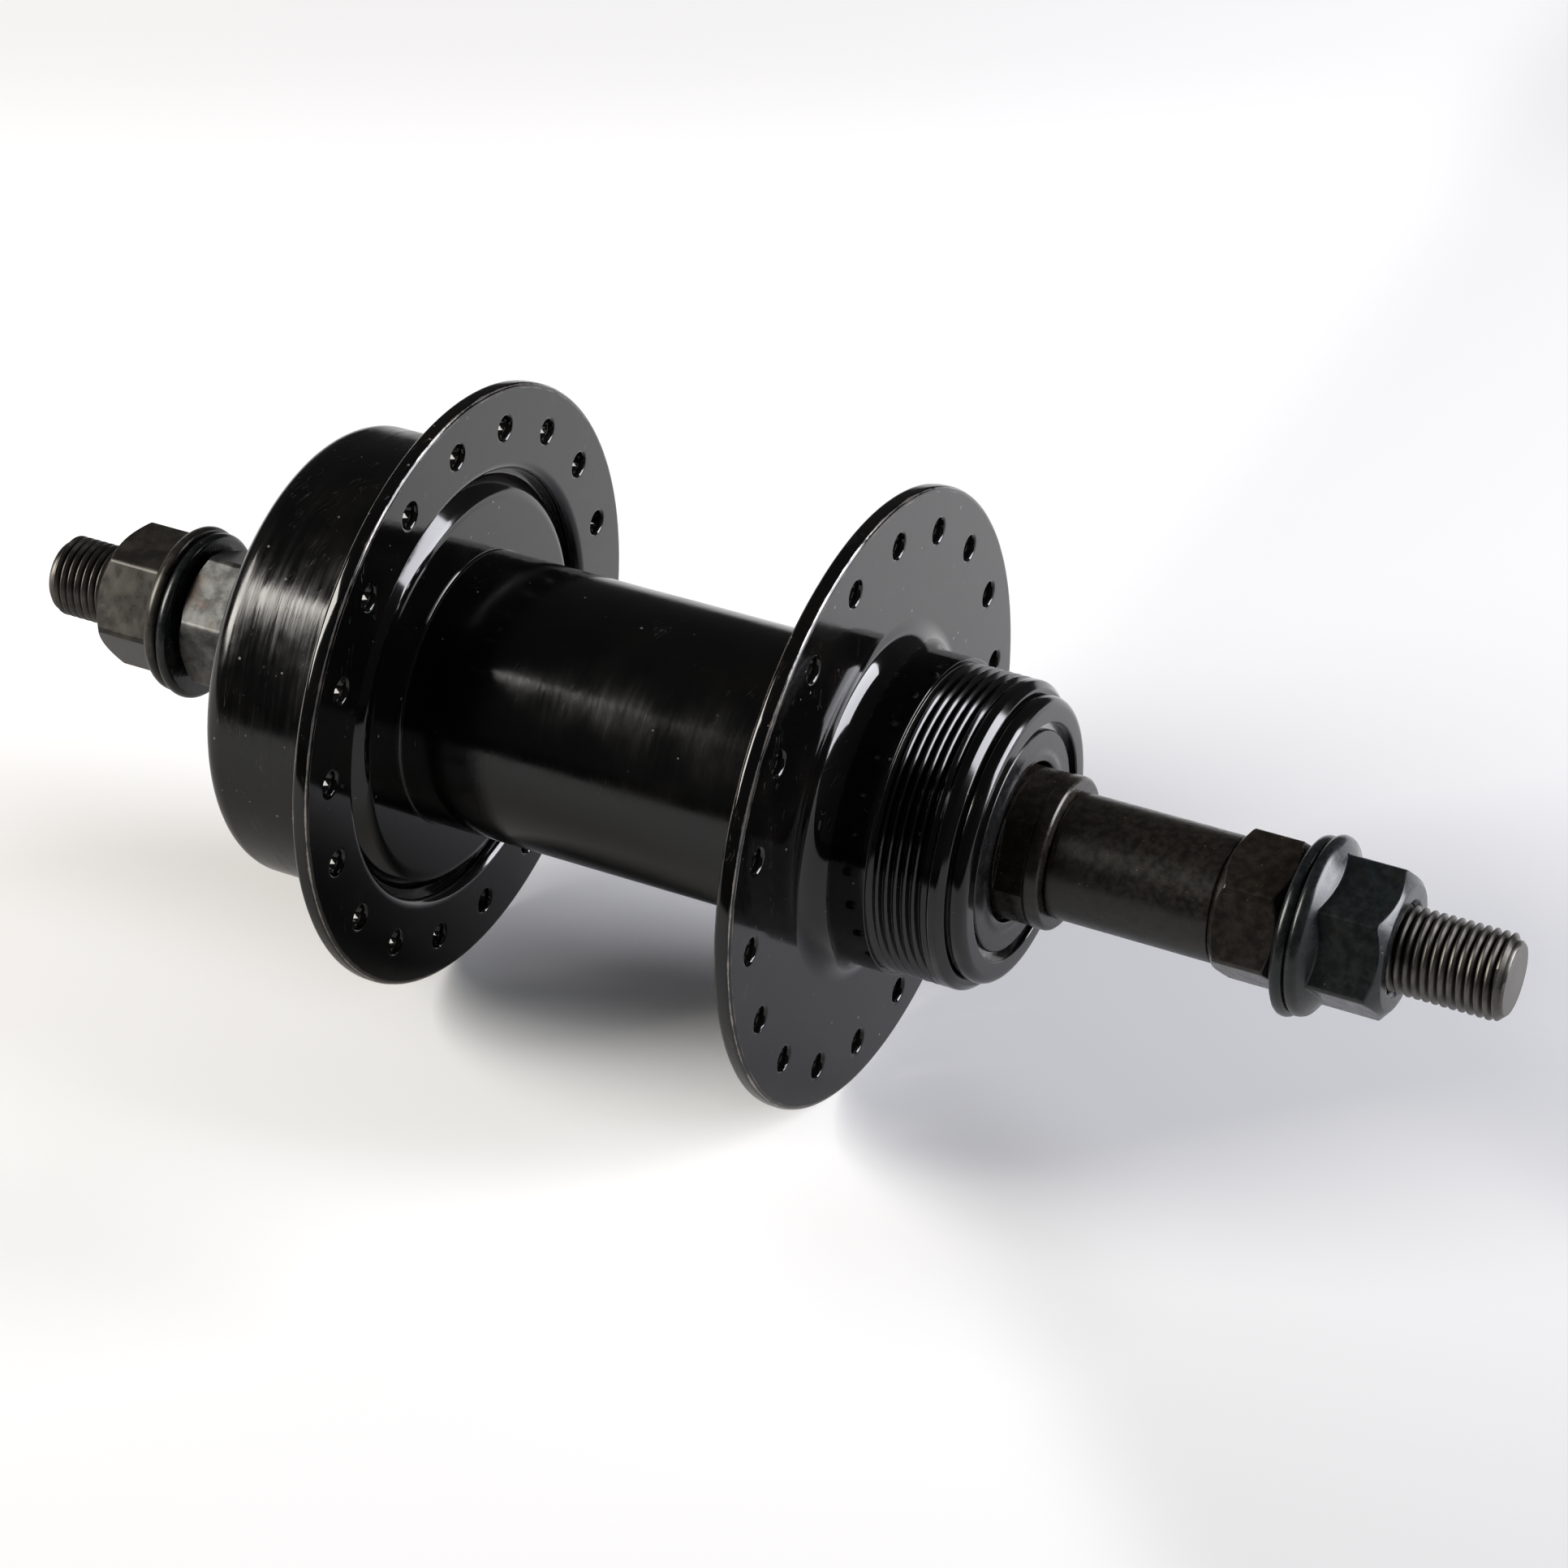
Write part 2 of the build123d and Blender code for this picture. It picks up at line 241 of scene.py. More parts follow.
# bore of a nut or locknut, with a mouth cut at 45 degrees
bored = {"radius": 4.81, "mouth": 0.5, "reach": 1, "softEdge": 0.2}


def boreTool(start, end):
    radius, mouth, reach = bored["radius"], bored["mouth"], bored["reach"]
    wide = radius + mouth + reach
    return spunShape([(0, start - reach), (wide, start - reach), (radius, start + mouth),
                      (radius, end - mouth), (wide, end + reach), (0, end + reach)],
                     closed=False, steps=boreSteps)


# Shader helpers
def wire(tree, kind, sockets=None, **settings):
    node = tree.nodes.new(kind)
    for key, value in settings.items():
        setattr(node, key, value)
    for key, value in (sockets or {}).items():
        if isinstance(value, bpy.types.NodeSocket):
            tree.links.new(value, node.inputs[key])
        else:
            node.inputs[key].default_value = value
    return node


def calc(tree, operation, first, second=0.0, clamp=False):
    return wire(tree, "ShaderNodeMath", {0: first, 1: second}, operation=operation,
                use_clamp=clamp).outputs[0]


def ramp(tree, value, low, high, toLow=0.0, toHigh=1.0):
    return wire(tree, "ShaderNodeMapRange", {"Value": value, "From Min": low, "From Max": high,
                "To Min": toLow, "To Max": toHigh}, interpolation_type="SMOOTHSTEP").outputs[0]


def mixColour(tree, factor, first, second):
    return wire(tree, "ShaderNodeMix", {0: factor, 6: first, 7: second}, data_type="RGBA").outputs[2]


def mottle(tree, spot, **values):
    return wire(tree, "ShaderNodeTexNoise", {"Vector": spot, **values}).outputs[0]


def bump(tree, height, depth, under=None):
    sockets = {"Height": height, "Distance": depth * mm, "Strength": 1.0}
    if under is not None:
        sockets["Normal"] = under
    return wire(tree, "ShaderNodeBump", sockets).outputs[0]


def newGroup(name, inputs, outputs):
    tree = bpy.data.node_groups.new(name, "ShaderNodeTree")
    for label, value in inputs.items():
        given = tree.interface.new_socket(label, in_out="INPUT", socket_type="NodeSocketFloat")
        given.default_value = value
    for label in outputs:
        tree.interface.new_socket(label, in_out="OUTPUT", socket_type="NodeSocketFloat")
    return tree, tree.nodes.new("NodeGroupInput").outputs, tree.nodes.new("NodeGroupOutput").inputs


# distance along the axle, radius from it and direction round it, in millimetres
def axlePlace(tree):
    spot = wire(tree, "ShaderNodeTexCoord").outputs["Object"]
    spot = wire(tree, "ShaderNodeVectorMath", {0: spot, 1: (1 / mm, 1 / mm, 1 / mm)},
                operation="MULTIPLY")
    parts = wire(tree, "ShaderNodeSeparateXYZ", {0: spot.outputs[0]}).outputs
    flat = wire(tree, "ShaderNodeCombineXYZ", {0: parts[0], 2: parts[2]}).outputs[0]
    radius = wire(tree, "ShaderNodeVectorMath", {0: flat}, operation="LENGTH").outputs["Value"]
    around = wire(tree, "ShaderNodeVectorMath", {0: flat}, operation="NORMALIZE").outputs[0]
    return parts[1], radius, around, spot.outputs[0]


# fine lines that run round the axle, as turning and brushing leave them
turned = {"detail": 3.0, "roughness": 0.6, "patchScale": 0.22, "patchDetail": 2.0,
          "patchRange": (0.35, 0.7)}


def makeTurnedGrain():
    inputs = {"Fineness": 9.0, "Around": 3.0, "Patchy": 0.5}
    tree, given, put = newGroup("turnedGrain", inputs, ["Height"])
    along, radius, around, spot = axlePlace(tree)
    turn = wire(tree, "ShaderNodeSeparateXYZ", {0: around}).outputs
    place = wire(tree, "ShaderNodeCombineXYZ", {
        0: calc(tree, "MULTIPLY", along, given["Fineness"]),
        1: calc(tree, "MULTIPLY", radius, given["Fineness"]),
        2: calc(tree, "MULTIPLY", turn[0], given["Around"])}).outputs[0]
    lines = wire(tree, "ShaderNodeTexNoise", {
        "Vector": place, "W": calc(tree, "MULTIPLY", turn[2], given["Around"]),
        "Scale": 1.0, "Detail": turned["detail"], "Roughness": turned["roughness"]},
        noise_dimensions="4D").outputs[0]
    patch = mottle(tree, spot, Scale=turned["patchScale"], Detail=turned["patchDetail"])
    share = ramp(tree, patch, *turned["patchRange"])
    share = calc(tree, "ADD", calc(tree, "MULTIPLY", share, given["Patchy"]),
                 calc(tree, "SUBTRACT", 1.0, given["Patchy"]))
    tree.links.new(calc(tree, "MULTIPLY", lines, share), put["Height"])
    return tree


# corners where handling has rubbed the finish away
rubbed = {"samples": 6, "detail": 6.0, "roughness": 0.65, "bendWeight": 6.0, "noiseWeight": 1.6,
          "fade": 0.35}


def makeEdgeWear():
    tree, given, put = newGroup("edgeWear", {"Width": 0.3, "Amount": 0.5, "Patch": 0.8}, ["Mask"])
    spot = axlePlace(tree)[3]
    reach = calc(tree, "MULTIPLY", given["Width"], mm)
    soft = wire(tree, "ShaderNodeBevel", {"Radius": reach}, samples=rubbed["samples"]).outputs[0]
    own = wire(tree, "ShaderNodeNewGeometry").outputs["Normal"]
    same = wire(tree, "ShaderNodeVectorMath", {0: soft, 1: own}, operation="DOT_PRODUCT")
    bend = calc(tree, "SUBTRACT", 1.0, same.outputs["Value"])
    noise = mottle(tree, spot, Scale=given["Patch"], Detail=rubbed["detail"],
                   Roughness=rubbed["roughness"])
    level = calc(tree, "SUBTRACT", calc(tree, "MULTIPLY", bend, rubbed["bendWeight"]),
                 calc(tree, "MULTIPLY", noise, rubbed["noiseWeight"]))
    level = calc(tree, "ADD", level, given["Amount"])
    tree.links.new(ramp(tree, level, 0.0, rubbed["fade"]), put["Mask"])
    return tree


# a ring at one radius, broken up where it is less worn
rimmed = {"scale": 0.35, "detail": 8.0, "roughness": 0.7, "noiseWeight": 1.7, "fade": 0.3}


def makeRimWear():
    tree, given, put = newGroup("rimWear", {"Radius": 35.1, "Width": 0.2, "Amount": 0.5}, ["Mask"])
    radius, spot = axlePlace(tree)[1], axlePlace(tree)[3]
    gap = calc(tree, "ABSOLUTE", calc(tree, "SUBTRACT", radius, given["Radius"]))
    near = calc(tree, "SUBTRACT", 1.0, calc(tree, "DIVIDE", gap, given["Width"]), clamp=True)
    noise = mottle(tree, spot, Scale=rimmed["scale"], Detail=rimmed["detail"],
                   Roughness=rimmed["roughness"])
    broken = calc(tree, "SUBTRACT", near, calc(tree, "MULTIPLY", noise, rimmed["noiseWeight"]))
    level = calc(tree, "ADD", broken, given["Amount"])
    tree.links.new(ramp(tree, level, 0.0, rimmed["fade"]), put["Mask"])
    return tree


# scattered dots, as dust, pits or rust
smallestSpeck = 0.3


def makeSpecks():
    tree, given, put = newGroup("specks", {"Scale": 1.0, "Size": 0.12, "Share": 0.2}, ["Mask"])
    spot = axlePlace(tree)[3]
    cells = wire(tree, "ShaderNodeTexVoronoi", {"Vector": spot, "Scale": given["Scale"],
                 "Randomness": 1.0}, feature="F1")
    pick = wire(tree, "ShaderNodeSeparateColor", {0: cells.outputs["Color"]}).outputs
    size = calc(tree, "MULTIPLY", given["Size"], calc(tree, "ADD", pick[1], smallestSpeck))
    dot = calc(tree, "LESS_THAN", cells.outputs["Distance"], size)
    chosen = calc(tree, "LESS_THAN", pick[0], given["Share"])
    tree.links.new(calc(tree, "MULTIPLY", dot, chosen), put["Mask"])
    return tree


# short hairline scratches in one direction
hairline = {"lean": 0.7, "stretch": (1.0, 9.0, 0.6), "detail": 1.0, "distortion": 0.3, "middle": 0.5,
            "width": 0.0035, "gateScale": 0.3, "gateDetail": 2.0}


def makeScratches():
    tree, given, put = newGroup("scratches", {"Scale": 0.25, "Turn": 0.6, "Share": 0.4}, ["Mask"])
    spot = axlePlace(tree)[3]
    angles = wire(tree, "ShaderNodeCombineXYZ",
                  {0: given["Turn"], 1: hairline["lean"], 2: given["Turn"]}).outputs[0]
    leaning = wire(tree, "ShaderNodeVectorRotate", {"Vector": spot, "Rotation": angles},
                   rotation_type="EULER_XYZ").outputs[0]
    long = wire(tree, "ShaderNodeVectorMath", {0: leaning, 1: hairline["stretch"]},
                operation="MULTIPLY").outputs[0]
    noise = mottle(tree, long, Scale=given["Scale"], Detail=hairline["detail"],
                   Distortion=hairline["distortion"])
    offset = calc(tree, "ABSOLUTE", calc(tree, "SUBTRACT", noise, hairline["middle"]))
    ridge = calc(tree, "LESS_THAN", offset, hairline["width"])
    gate = mottle(tree, spot, Scale=hairline["gateScale"], Detail=hairline["gateDetail"])
    allowed = calc(tree, "LESS_THAN", gate, given["Share"])
    tree.links.new(calc(tree, "MULTIPLY", ridge, allowed), put["Mask"])
    return tree


turnedGrain = makeTurnedGrain()
edgeWear = makeEdgeWear()
rimWear = makeRimWear()
specks = makeSpecks()
scratches = makeScratches()


def effect(tree, group, **values):
    node = tree.nodes.new("ShaderNodeGroup")
    node.node_tree = group
    for key, value in values.items():
        node.inputs[key].default_value = value
    return node.outputs[0]


def startMaterial(name):
    material = bpy.data.materials.new(name)
    material.use_nodes = True
    tree = material.node_tree
    return material, tree, tree.nodes["Principled BSDF"]


def grey(value, warm=0.0):
    return (value * (1 + warm), value, value * (1 - warm), 1.0)


# black stoved enamel: a deep gloss over brushed steel, rubbed through at its rims
coat = {"deep": grey(0.0015), "hazy": grey(0.003, 0.15), "hazeRange": (0.4, 0.75), "cloudDetail": 5.0,
        "wearPatch": 0.7, "dustSize": 0.12, "scratchScale": 0.22, "scratchStrength": 0.4,
        "markStrength": 0.4, "markColour": grey(0.25, 0.1), "wornColour": grey(0.30, 0.1),
        "wornMetal": 0.85, "roughRange": (0.3, 0.75), "wornRough": 0.16, "markRough": 0.3,
        "streakAround": 3.0, "streakPatchy": 0.3, "streakMiddle": 0.4, "peelDetail": 2.0,
        "grainAround": 2.5, "grainPatchy": 0.6, "index": 1.5}


def enamel(name, look):
    material, tree, shader = startMaterial(name)
    spot = axlePlace(tree)[3]
    cloud = mottle(tree, spot, Scale=look["cloudScale"], Detail=coat["cloudDetail"])
    colour = mixColour(tree, ramp(tree, cloud, *coat["hazeRange"]), coat["deep"], coat["hazy"])
    wear = effect(tree, edgeWear, Width=look["edgeWidth"], Amount=look["edgeAmount"],
                  Patch=coat["wearPatch"])
    for radius, width, amount in look["rim"]:
        more = effect(tree, rimWear, Radius=radius, Width=width, Amount=amount)
        wear = calc(tree, "MAXIMUM", wear, more)
    dust = effect(tree, specks, Scale=look["dustScale"], Size=coat["dustSize"], Share=look["dustShare"])
    lines = effect(tree, scratches, Scale=coat["scratchScale"], Turn=look["scratchTurn"],
                   Share=look["scratchShare"])
    marks = calc(tree, "MAXIMUM", dust, calc(tree, "MULTIPLY", lines, coat["scratchStrength"]))
    marked = calc(tree, "MULTIPLY", marks, coat["markStrength"])
    colour = mixColour(tree, marked, colour, coat["markColour"])
    colour = mixColour(tree, wear, colour, coat["wornColour"])
    tree.links.new(colour, shader.inputs["Base Color"])
    tree.links.new(calc(tree, "MULTIPLY", wear, coat["wornMetal"]), shader.inputs["Metallic"])
    rough = ramp(tree, cloud, *coat["roughRange"], look["roughLow"], look["roughHigh"])
    rough = calc(tree, "ADD", rough, calc(tree, "MULTIPLY", wear, coat["wornRough"]))
    rough = calc(tree, "ADD", rough, calc(tree, "MULTIPLY", marks, coat["markRough"]))
    streak = effect(tree, turnedGrain, Fineness=look["streakFineness"], Around=coat["streakAround"],
                    Patchy=coat["streakPatchy"])
    uneven = calc(tree, "SUBTRACT", streak, coat["streakMiddle"])
    uneven = calc(tree, "MULTIPLY", uneven, look["streakRough"])
    tree.links.new(calc(tree, "ADD", rough, uneven, clamp=True), shader.inputs["Roughness"])
    peel = mottle(tree, spot, Scale=look["peelScale"], Detail=coat["peelDetail"])
    lean = bump(tree, peel, look["peelDepth"])
    grain = effect(tree, turnedGrain, Fineness=look["grainFineness"], Around=coat["grainAround"],
                   Patchy=coat["grainPatchy"])
    lean = bump(tree, grain, look["grainDepth"], lean)
    lean = bump(tree, streak, look["streakDepth"], lean)
    tree.links.new(lean, shader.inputs["Normal"])
    shader.inputs["IOR"].default_value = coat["index"]
    return material


# oxidised or bare steel, mottled, with pale rubbed corners and, where asked, painted shade in a thread's
# roots
skin = {"mottleDetail": 7.0, "mottleRoughness": 0.62, "mottleRange": (0.35, 0.68), "tintScale": 0.45,
        "tintDetail": 3.0, "tintRange": (0.5, 0.75), "wearPatch": 1.1,
        "paintedRootShadeColour": (0.012, 0.010, 0.009, 1), "speckSize": 0.12, "speckStrength": 0.8,
        "speckBare": 0.6, "roughRange": (0.3, 0.7), "wornSmooth": 0.08, "speckRough": 0.3,
        "grainAround": 2.0, "grainPatchy": 0.4, "pitDetail": 6.0, "pitRoughness": 0.7}


def steel(name, look):
    material, tree, shader = startMaterial(name)
    spot = axlePlace(tree)[3]
    cloud = mottle(tree, spot, Scale=look["cloudScale"], Detail=skin["mottleDetail"],
                   Roughness=skin["mottleRoughness"])
    colour = mixColour(tree, ramp(tree, cloud, *skin["mottleRange"]), look["dark"], look["light"])
    tint = mottle(tree, spot, Scale=look["cloudScale"] * skin["tintScale"], Detail=skin["tintDetail"])
    tinted = ramp(tree, tint, *skin["tintRange"], 0.0, look["tintShare"])
    colour = mixColour(tree, tinted, colour, look["tint"])
    wear = effect(tree, edgeWear, Width=look["edgeWidth"], Amount=look["edgeAmount"],
                  Patch=skin["wearPatch"])
    colour = mixColour(tree, wear, colour, look["worn"])
    if "paintedRootShade" in look:                                     # painted shade darkens the thread's roots, except at the tips
        along, radius = axlePlace(tree)[:2]
        tip = calc(tree, "GREATER_THAN", calc(tree, "ABSOLUTE", along), look["paintedRootShadeEnd"])
        unshaded = calc(tree, "MAXIMUM", ramp(tree, radius, *look["paintedRootShade"]), tip)
        colour = mixColour(tree, unshaded, skin["paintedRootShadeColour"], colour)
    spots = effect(tree, specks, Scale=look["speckScale"], Size=skin["speckSize"],
                   Share=look["speckShare"])
    spotted = calc(tree, "MULTIPLY", spots, skin["speckStrength"])
    colour = mixColour(tree, spotted, colour, look["speckColour"])
    tree.links.new(colour, shader.inputs["Base Color"])
    covered = calc(tree, "MULTIPLY", spots, skin["speckBare"])
    bare = calc(tree, "SUBTRACT", look["metal"], covered, clamp=True)
    tree.links.new(bare, shader.inputs["Metallic"])
    rough = ramp(tree, cloud, *skin["roughRange"], look["roughLow"], look["roughHigh"])
    rough = calc(tree, "SUBTRACT", rough, calc(tree, "MULTIPLY", wear, skin["wornSmooth"]))
    rough = calc(tree, "ADD", rough, calc(tree, "MULTIPLY", spots, skin["speckRough"]))
    tree.links.new(rough, shader.inputs["Roughness"])
    grain = effect(tree, turnedGrain, Fineness=look["grainFineness"], Around=skin["grainAround"],
                   Patchy=skin["grainPatchy"])
    lean = bump(tree, grain, look["grainDepth"])
    pits = mottle(tree, spot, Scale=look["pitScale"], Detail=skin["pitDetail"],
                  Roughness=skin["pitRoughness"])
    lean = bump(tree, pits, look["pitDepth"], lean)
    tree.links.new(lean, shader.inputs["Normal"])
    return material


# each rim is a radius, a width and an amount of wear
enamelLook = {"rim": [], "cloudScale": 0.12, "edgeWidth": 0.2, "edgeAmount": -0.1,
              "dustScale": 0.8, "dustShare": 0.05, "scratchTurn": 0.6, "scratchShare": 0.33,
              "roughLow": 0.06, "roughHigh": 0.10, "peelScale": 0.6, "peelDepth": 0.004,
              "grainFineness": 7.0, "grainDepth": 0.0003, "streakFineness": 1.0,
              "streakRough": 0.06, "streakDepth": 0.001}
flangeLook = {**enamelLook, "roughHigh": 0.11, "dustScale": 0.9, "dustShare": 0.09,
              "scratchShare": 0.4, "rim": [(35.12, 0.2, 0.22), (34.75, 0.1, 0.05)]}
drumLook = {**enamelLook, "grainDepth": 0.0010, "grainFineness": 5.0, "peelDepth": 0.006,
            "dustShare": 0.25, "roughLow": 0.12, "roughHigh": 0.24, "scratchShare": 0.45,
            "streakFineness": 1.9, "streakRough": 0.4, "streakDepth": 0.018}
barrelLook = {**enamelLook, "grainDepth": 0.0008, "roughLow": 0.12, "roughHigh": 0.2, "peelScale": 0.9,
              "peelDepth": 0.007, "streakRough": 0.15, "streakDepth": 0.005, "streakFineness": 2.0}
socketLook = {**enamelLook, "edgeWidth": 0.12, "edgeAmount": 0.05, "peelDepth": 0.003,
              "dustShare": 0.1, "roughLow": 0.10, "roughHigh": 0.16}
oxideLook = {"cloudScale": 0.9, "dark": (0.0065, 0.0085, 0.009, 1), "light": (0.014, 0.017, 0.018, 1),
             "tint": (0.024, 0.018, 0.012, 1), "tintShare": 0.3, "edgeWidth": 0.3, "edgeAmount": 0.1,
             "worn": (0.13, 0.13, 0.125, 1), "speckScale": 1.1, "speckShare": 0.04,
             "speckColour": (0.10, 0.08, 0.06, 1), "metal": 0.25, "roughLow": 0.2, "roughHigh": 0.3,
             "grainFineness": 6.0, "grainDepth": 0.0006, "pitScale": 1.6, "pitDepth": 0.006}
brownLook = {**oxideLook, "dark": (0.010, 0.008, 0.0065, 1), "light": (0.022, 0.018, 0.014, 1),
             "speckScale": 2.2, "speckShare": 0.12, "speckColour": (0.16, 0.12, 0.06, 1)}
wornLook = {**oxideLook, "dark": (0.05, 0.05, 0.049, 1), "light": (0.15, 0.152, 0.148, 1),
            "tint": (0.15, 0.08, 0.045, 1), "tintShare": 0.5, "cloudScale": 0.5, "edgeAmount": 0.25,
            "worn": (0.26, 0.26, 0.25, 1), "speckColour": (0.22, 0.19, 0.05, 1), "metal": 0.75,
            "roughLow": 0.36, "roughHigh": 0.48}
dullLook = {**brownLook, "dark": (0.027, 0.0245, 0.021, 1), "light": (0.056, 0.051, 0.044, 1),
            "cloudScale": 0.45, "edgeAmount": 0.25, "worn": (0.2, 0.195, 0.18, 1), "metal": 0.5,
            "speckShare": 0.05, "roughLow": 0.26, "roughHigh": 0.36}
spacerLook = {**brownLook, "dark": (0.007, 0.006, 0.0045, 1), "light": (0.018, 0.015, 0.011, 1),
              "cloudScale": 1.1, "edgeAmount": 0.15, "roughLow": 0.27, "roughHigh": 0.38}
# the axle's thread roots get painted shade below a radius of 4.24 to 4.60, the tips left out
axleLook = {**oxideLook, "dark": (0.07, 0.065, 0.058, 1), "light": (0.16, 0.152, 0.138, 1),
            "cloudScale": 0.25, "edgeWidth": 0.12, "edgeAmount": 0.2, "worn": (0.28, 0.27, 0.25, 1),
            "metal": 0.9, "roughLow": 0.32, "roughHigh": 0.46, "grainDepth": 0.0008,
            "paintedRootShade": (4.24, 4.60), "paintedRootShadeEnd": 89.2}
capLook = {**oxideLook, "dark": (0.007, 0.0072, 0.0075, 1), "light": (0.014, 0.0142, 0.0145, 1),
           "speckScale": 1.8, "speckShare": 0.1, "speckColour": (0.16, 0.10, 0.05, 1)}
groundLook = {**oxideLook, "dark": (0.25, 0.25, 0.245, 1), "light": (0.42, 0.42, 0.41, 1),
              "tint": (0.16, 0.12, 0.07, 1), "metal": 1.0, "roughLow": 0.14, "roughHigh": 0.26,
              "speckShare": 0.0, "pitDepth": 0.003}
ballLook = {**groundLook, "dark": (0.5, 0.5, 0.5, 1), "light": (0.66, 0.66, 0.66, 1),
            "roughLow": 0.05, "roughHigh": 0.12, "pitDepth": 0.001, "edgeAmount": 0.0}
cageLook = {**groundLook, "dark": (0.3, 0.28, 0.24, 1), "light": (0.46, 0.44, 0.39, 1),
            "roughLow": 0.26, "roughHigh": 0.38}

flangeEnamel = enamel("flangeEnamel", flangeLook)
drumEnamel = enamel("drumEnamel", drumLook)
barrelEnamel = enamel("barrelEnamel", barrelLook)
shellEnamel = enamel("shellEnamel", enamelLook)
socketEnamel = enamel("socketEnamel", socketLook)
blackOxide = steel("blackOxide", oxideLook)
brownOxide = steel("brownOxide", brownLook)
dullOxide = steel("dullOxide", dullLook)
wornOxide = steel("wornOxide", wornLook)
spacerOxide = steel("spacerOxide", spacerLook)
axleSteel = steel("axleSteel", axleLook)
capZinc = steel("capZinc", capLook)
groundSteel = steel("groundSteel", groundLook)
ballSteel = steel("ballSteel", ballLook)
cageSteel = steel("cageSteel", cageLook)
print("finishes made")

# Spoked flanges
spokes = {"count": 18, "circle": 30.3, "radius": 1.35, "mouth": 0.45, "phase": 8.4, "reach": 0.5,
          "headRadius": 3.0, "lift": 0.004, "steps": 32}


def spokeDrills(phase):
    reach, head, lift = spokes["reach"], spokes["headRadius"], spokes["lift"]
    far = flangeThickness + reach
    drills = bmesh.new()
    for index in range(spokes["count"]):
        drill = spunShape([(0, -far), (head, -far), (head, -flangeThickness - lift),
                           (spokes["radius"], -flangeThickness - lift, spokes["mouth"]),
                           (spokes["radius"], lift, spokes["mouth"]), (head, lift), (head, reach),
                           (0, reach)], closed=False, steps=spokes["steps"])
        bmesh.ops.translate(drill, verts=drill.verts, vec=(0, 0, spokes["circle"]))
        turn = radians(phase + index * 360 / spokes["count"])
        bmesh.ops.rotate(drill, verts=drill.verts, cent=(0, 0, 0), matrix=Matrix.Rotation(turn, 3, "Y"))
        addShape(drills, drill)
    return drills


driveFlange = {"neckRadius": 17.85, "neckLength": 7.0, "neckFillet": 3.0, "mouthRounding": 1.2,
               "rimRounding": 0.6, "neckEdge": 0.12}


def makeDriveFlange():
    size = driveFlange
    blank = spunShape([
        (barrelRadius, -flangeThickness, size["mouthRounding"]),
        (flangeRadius, -flangeThickness, size["rimRounding"]),
        (flangeRadius, 0, size["rimRounding"]),
        (size["neckRadius"], 0, size["neckFillet"]),
        (size["neckRadius"], size["neckLength"], size["neckEdge"]),
        (barrelRadius, size["neckLength"])])
    blank = carve(blank, spokeDrills(-spokes["phase"]), "DIFFERENCE")
    finishPiece("driveFlangePressing", blank, "drive", "hub_shell", ["drive_flange"], flangeEnamel)


drumFlange = {"bore": 25.2, "boreRounding": 1.2, "rimRounding": 0.6}


def makeDrumFlange():
    size = drumFlange
    blank = spunShape([
        (size["bore"], -flangeThickness, size["boreRounding"]),
        (flangeRadius, -flangeThickness, size["rimRounding"]),
        (flangeRadius, 0, size["rimRounding"]),
        (size["bore"], 0)])
    blank = carve(blank, spokeDrills(spokes["phase"] + 180 / spokes["count"]), "DIFFERENCE")
    finishPiece("drumFlangeRing", blank, "drum", "hub_shell", ["drum_flange"], flangeEnamel)


# Drum, pressed shell end and barrel
drum = {"radius": 26.5, "wall": 2.0, "length": 17.65, "corner": 2.8, "mouthRounding": 1.2,
        "seatRadius": 13.375, "seatStart": 6.675}


def makeBrakeDrum():
    size = drum
    bore = size["radius"] - size["wall"]
    inside = size["length"] - size["wall"]
    shell = spunShape([
        (bore, 0), (size["radius"], 0),
        (size["radius"], size["length"], size["corner"]),
        (size["seatRadius"], size["length"], size["mouthRounding"]),
        (size["seatRadius"], size["seatStart"]),
        (size["seatRadius"] + size["wall"], size["seatStart"]),
        (size["seatRadius"] + size["wall"], inside, size["wall"]),
        (bore, inside, size["corner"] - size["wall"])])
    finishPiece("drumCup", shell, "drum", "hub_shell", ["brake_drum"], drumEnamel)


shellEnd = {"radius": 24.5, "wall": 2.0, "bevel": 1.9, "faceRounding": 0.8, "skirtRounding": 0.3,
            "skirtEnd": 6.6, "neckEdge": 0.02, "neckFillet": 0.25, "neckRim": 0.1,
            "seatDepth": 0.5, "insideRounding": 0.6}


def makeShellEnd():
    size = shellEnd
    edge = barrelRadius + size["neckEdge"]
    seat = barrelRadius - size["seatDepth"]
    bore = size["radius"] - size["wall"]
    inside = size["wall"] - flangeThickness
    neckEnd = -flangeThickness - size["neckFillet"] - size["neckRim"]
    cup = spunShape([
        (seat, neckEnd), (edge, neckEnd),
        (edge, -flangeThickness, size["neckFillet"]),
        (size["radius"] - size["bevel"], -flangeThickness, size["faceRounding"]),
        (size["radius"], size["bevel"] - flangeThickness, size["skirtRounding"]),
        (size["radius"], size["skirtEnd"]), (bore, size["skirtEnd"]),
        (bore, inside, size["insideRounding"]), (seat, inside)])
    finishPiece("pressedShellEnd", cup, "drum", "hub_shell", ["shell_end"], shellEnamel)


barrel = {"wall": 2.0, "rounding": 0.2}


def makeBarrel():
    radius, start, end = extentOf("hub_barrel", "drum")
    bore = radius - barrel["wall"]
    tube = spunShape([(bore, start), (radius, start, barrel["rounding"]),
                      (radius, end, barrel["rounding"]), (bore, end)])
    finishPiece("barrelTube", tube, "drum", "hub_shell", ["hub_barrel"], barrelEnamel)


